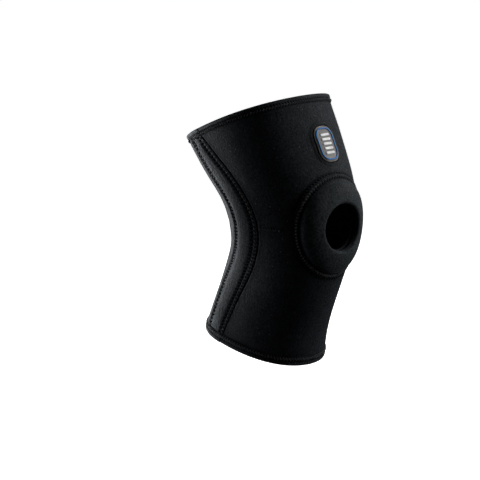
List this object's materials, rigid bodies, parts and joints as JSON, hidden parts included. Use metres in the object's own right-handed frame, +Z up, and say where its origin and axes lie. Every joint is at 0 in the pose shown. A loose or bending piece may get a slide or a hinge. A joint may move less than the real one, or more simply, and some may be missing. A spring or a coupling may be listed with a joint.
{
  "type": "open-kneecap knee sleeve",
  "caption": "Black neoprene knee sleeve in its worn, bent shape, with a padded ring round a kneecap opening, side stay channels and bound hems.",
  "frame": {"origin": "on the leg's axis inside the sleeve, at the middle of the knee's bend, level with the kneecap opening", "axes": "+Z up along the leg from the calf hem to the thigh hem, -Y out through the kneecap opening, X across the knee"},
  "size_m": [0.1356, 0.1833, 0.2633],
  "materials": {
    "neoprene": "matte nylon jersey on foam rubber",
    "ring_fabric": "matte nylon jersey over a soft pad",
    "binding_tape": "ribbed elastic tape with zigzag stitching",
    "badge_rubber": "satin moulded rubber",
    "badge_blue": "satin moulded rubber",
    "badge_white": "satin moulded rubber"
  },
  "bodies": {
    "root": {"front_panel": "neoprene", "back_panel": "neoprene", "stay_channel_left": "neoprene", "stay_channel_right": "neoprene", "kneecap_ring": "ring_fabric", "thigh_binding": "binding_tape", "calf_binding": "binding_tape", "badge_base": "badge_rubber", "badge_line": "badge_blue", "badge_bar_1": "badge_white", "badge_bar_2": "badge_white", "badge_bar_3": "badge_white", "badge_bar_4": "badge_white", "badge_bar_5": "badge_white"}
  },
  "joints": []
}
